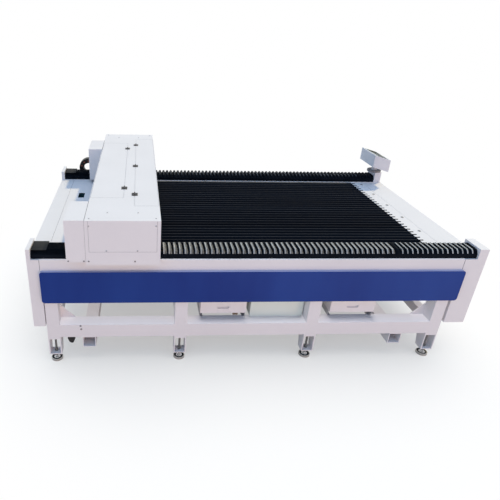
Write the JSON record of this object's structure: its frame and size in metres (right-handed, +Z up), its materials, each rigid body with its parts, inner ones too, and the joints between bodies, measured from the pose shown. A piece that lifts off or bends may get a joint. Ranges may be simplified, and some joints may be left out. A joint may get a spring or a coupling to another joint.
{
  "type": "flatbed laser cutting machine",
  "caption": "Flatbed laser cutter with a slatted bed, a travelling gantry over bellows-covered rails, a swivel control box and drawers on a welded frame.",
  "frame": {"origin": "on the floor under the middle of the machine's outline, with the gantry's overhangs counted", "axes": "+X along the bed, the way the gantry travels; +Y across the machine towards the control box; +Z up"},
  "size_m": [3.4, 2.405, 1.266],
  "materials": {
    "white_paint": "powder coat",
    "blue_paint": "gloss",
    "bellows_cloth": "coated cloth",
    "slat_metal": "black anodised",
    "dark_steel": "dull",
    "bright_steel": "zinc plated",
    "beam_metal": "satin",
    "foot_rubber": "moulded",
    "black_plastic": "moulded",
    "hinge_metal": "black oxide",
    "motor_metal": "satin black",
    "tube_glass": "clear",
    "head_metal": "red anodised",
    "control_shell": "satin",
    "keypad": "printed membrane"
  },
  "bodies": {
    "base": {"near_side_beam": "white_paint", "far_side_beam": "white_paint", "legs": "white_paint", "lower_beams": "white_paint", "cross_beams": "white_paint", "corner_gussets": "white_paint", "fork_pockets": "white_paint", "foot_brackets": "white_paint", "foot_studs": "bright_steel", "foot_pads": "foot_rubber", "near_side_panel": "blue_paint", "far_side_panel": "blue_paint", "near_left_cover": "white_paint", "near_right_cover": "white_paint", "far_left_cover": "white_paint", "far_right_cover": "white_paint", "left_end_panel": "white_paint", "right_end_panel": "white_paint", "left_table_sheet": "white_paint", "right_table_sheet": "white_paint", "table_screws": "bright_steel", "bed_strips": "white_paint", "bed_bearers": "white_paint", "scrap_tray": "dark_steel", "slat_combs": "bright_steel", "bed_slats": "slat_metal", "guide_rails": "bright_steel", "near_right_bellows": "bellows_cloth", "far_right_bellows": "bellows_cloth", "near_left_bellows": "bellows_cloth", "far_left_bellows": "bellows_cloth", "cable_trough": "white_paint", "cable_chain_run": "black_plastic", "power_connector": "black_plastic", "power_supply_box": "white_paint", "control_post": "control_shell", "drawer_runners": "bright_steel"},
    "gantry": {"gantry_beam": "beam_metal", "gantry_top": "white_paint", "gantry_sides": "white_paint", "gantry_ends": "white_paint", "near_drive_cover": "white_paint", "far_drive_cover": "white_paint", "drive_motors": "motor_metal", "rail_carriages": "bright_steel", "laser_tube": "tube_glass", "tube_clamps": "black_plastic", "head_rail": "bright_steel", "cable_chain_loop": "black_plastic", "lid_hinges": "hinge_metal"},
    "left_lid": {"left_lid": "white_paint", "left_lid_leaves": "hinge_metal"},
    "right_lid": {"right_lid": "white_paint", "right_lid_leaves": "hinge_metal"},
    "head_carriage": {"head_carriage": "bright_steel"},
    "laser_head": {"laser_head": "head_metal"},
    "control_box": {"control_box": "control_shell", "control_panel": "keypad"},
    "left_drawer": {"left_drawer": "white_paint"},
    "right_drawer": {"right_drawer": "white_paint"}
  },
  "joints": [
    {"name": "gantry_slide", "type": "slide", "parent": "base", "child": "gantry", "axis": [1, 0, 0], "range_m": [0, 2.05], "deforming": ["near_right_bellows", "far_right_bellows", "near_left_bellows", "far_left_bellows"]},
    {"name": "head_slide", "type": "slide", "parent": "gantry", "child": "head_carriage", "axis": [0, 1, 0], "range_m": [-0.62, 0.62]},
    {"name": "head_lift", "type": "slide", "parent": "head_carriage", "child": "laser_head", "axis": [0, 0, 1], "range_m": [-0.045, 0]},
    {"name": "left_lid_hinge", "type": "hinge", "parent": "gantry", "child": "left_lid", "pos_m": [-1.01925, -0.1375, 1.261], "axis": [0, 1, 0], "range_deg": [0, 100]},
    {"name": "right_lid_hinge", "type": "hinge", "parent": "gantry", "child": "right_lid", "pos_m": [-0.93675, -0.1375, 1.261], "axis": [0, -1, 0], "range_deg": [0, 100]},
    {"name": "panel_swivel", "type": "hinge", "parent": "base", "child": "control_box", "pos_m": [1.627, 0.7085, 1.039], "axis": [0, 0, 1], "range_deg": [-90, 90]},
    {"name": "left_drawer_slide", "type": "slide", "parent": "base", "child": "left_drawer", "axis": [0, -1, 0], "range_m": [0, 0.35]},
    {"name": "right_drawer_slide", "type": "slide", "parent": "base", "child": "right_drawer", "axis": [0, -1, 0], "range_m": [0, 0.35]}
  ]
}
